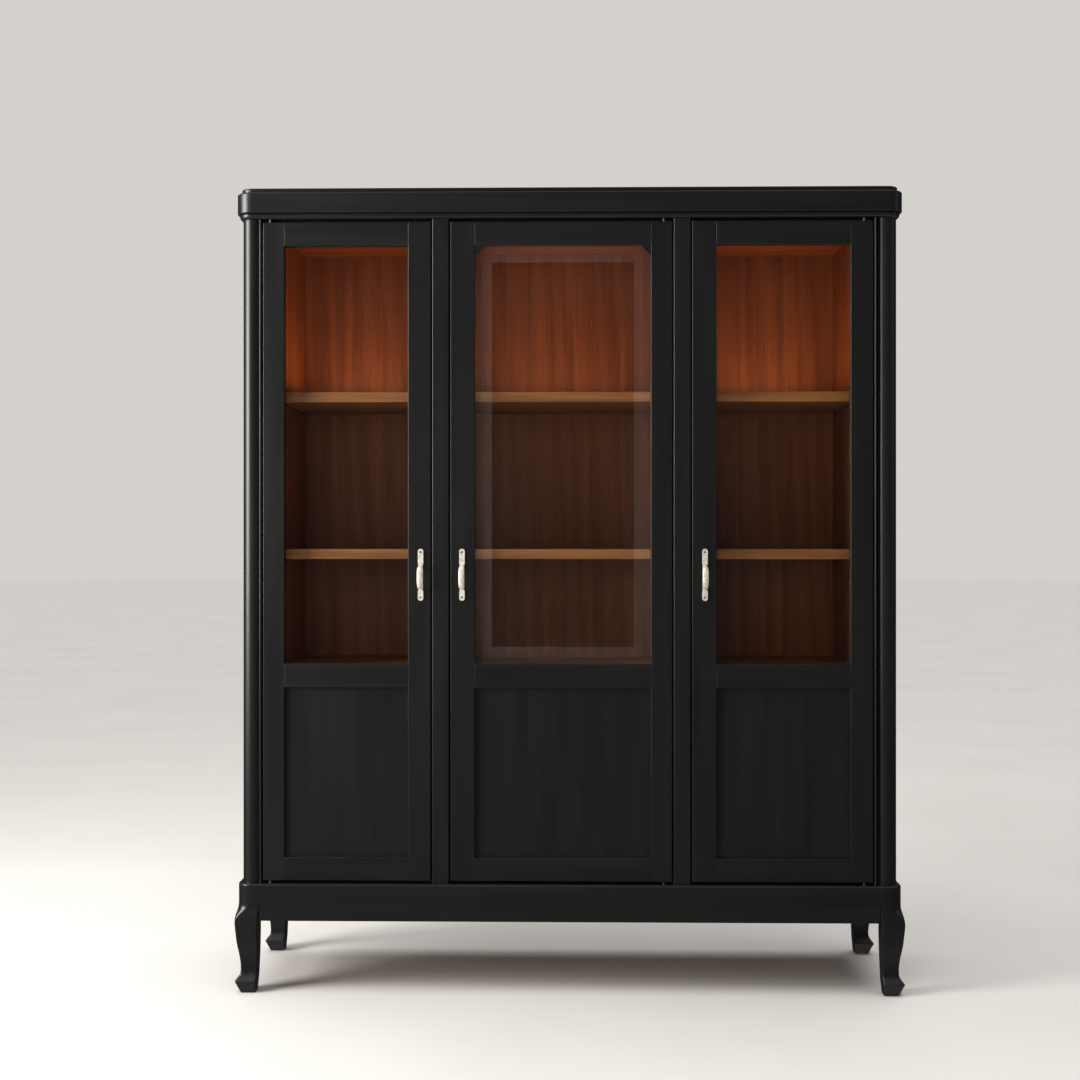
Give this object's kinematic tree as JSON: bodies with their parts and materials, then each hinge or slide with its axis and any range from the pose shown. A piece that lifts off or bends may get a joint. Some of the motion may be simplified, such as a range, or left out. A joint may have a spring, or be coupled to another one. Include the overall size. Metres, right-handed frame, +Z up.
{
  "type": "display cabinet",
  "caption": "Tall free-standing apothecary cabinet with a cornice, glazed doors over panels, wooden shelves inside and short cabriole legs.",
  "frame": {"origin": "on the floor, under the middle of the overall box, pulls and cornice included", "axes": "+Z up, doors face -Y, +X to the right of someone facing the doors"},
  "size_m": [1.6596, 0.447, 2.003],
  "materials": {
    "black_paint": "satin black paint on wood",
    "oak_veneer": "reddish-brown oak veneer, satin lacquer",
    "shelf_oak": "orange-brown oak, satin lacquer",
    "rough_oak": "bare sawn wood",
    "glass": "clear polished",
    "aged_nickel": "worn nickel plate",
    "dark_steel": "turned, blackened",
    "dark_screw": "dark oxidised"
  },
  "bodies": {
    "carcass": {"leg_front_left": "black_paint", "leg_front_right": "black_paint", "leg_rear_left": "black_paint", "leg_rear_right": "black_paint", "apron_front": "black_paint", "apron_rear": "black_paint", "aprons_side": "black_paint", "floor_bearers": "rough_oak", "corner_blocks": "rough_oak", "carcass_floor": "oak_veneer", "carcass_top": "oak_veneer", "post_front_left": "black_paint", "post_front_right": "black_paint", "posts_rear": "black_paint", "mullions": "black_paint", "partitions": "oak_veneer", "side_linings": "oak_veneer", "side_rails": "black_paint", "side_panels": "black_paint", "back_panels": "oak_veneer", "back_frame": "black_paint", "fixed_shelves": "shelf_oak", "upper_shelves": "shelf_oak", "lower_shelves": "shelf_oak", "shelf_pins": "dark_steel", "cornice_bead": "black_paint", "cornice_frieze": "black_paint", "cornice_cap": "black_paint", "pivot_pins": "dark_steel"},
    "left_door": {"left_door_hinge_stile": "black_paint", "left_door_pull_stile": "black_paint", "left_door_top_rail": "black_paint", "left_door_mid_rail": "black_paint", "left_door_bottom_rail": "black_paint", "left_door_lower_panel": "black_paint", "left_door_glass": "glass", "left_door_glazing_beads": "black_paint", "left_door_pull": "aged_nickel", "left_door_pull_screws": "dark_screw"},
    "centre_door": {"centre_door_hinge_stile": "black_paint", "centre_door_pull_stile": "black_paint", "centre_door_top_rail": "black_paint", "centre_door_mid_rail": "black_paint", "centre_door_bottom_rail": "black_paint", "centre_door_lower_panel": "black_paint", "centre_door_glass": "glass", "centre_door_glazing_beads": "black_paint", "centre_door_pull": "aged_nickel", "centre_door_pull_screws": "dark_screw", "centre_door_corner_brackets": "black_paint"},
    "right_door": {"right_door_hinge_stile": "black_paint", "right_door_pull_stile": "black_paint", "right_door_top_rail": "black_paint", "right_door_mid_rail": "black_paint", "right_door_bottom_rail": "black_paint", "right_door_lower_panel": "black_paint", "right_door_glass": "glass", "right_door_glazing_beads": "black_paint", "right_door_pull": "aged_nickel", "right_door_pull_screws": "dark_screw"}
  },
  "joints": [
    {"name": "left_door_hinge", "type": "hinge", "parent": "carcass", "child": "left_door", "pos_m": [-0.7425, -0.1855, 0.28], "axis": [0, 0, -1], "range_deg": [0, 110]},
    {"name": "centre_door_hinge", "type": "hinge", "parent": "carcass", "child": "centre_door", "pos_m": [0.2388, -0.1855, 0.28], "axis": [0, 0, 1], "range_deg": [0, 110]},
    {"name": "right_door_hinge", "type": "hinge", "parent": "carcass", "child": "right_door", "pos_m": [0.735, -0.1855, 0.28], "axis": [0, 0, 1], "range_deg": [0, 110]}
  ]
}
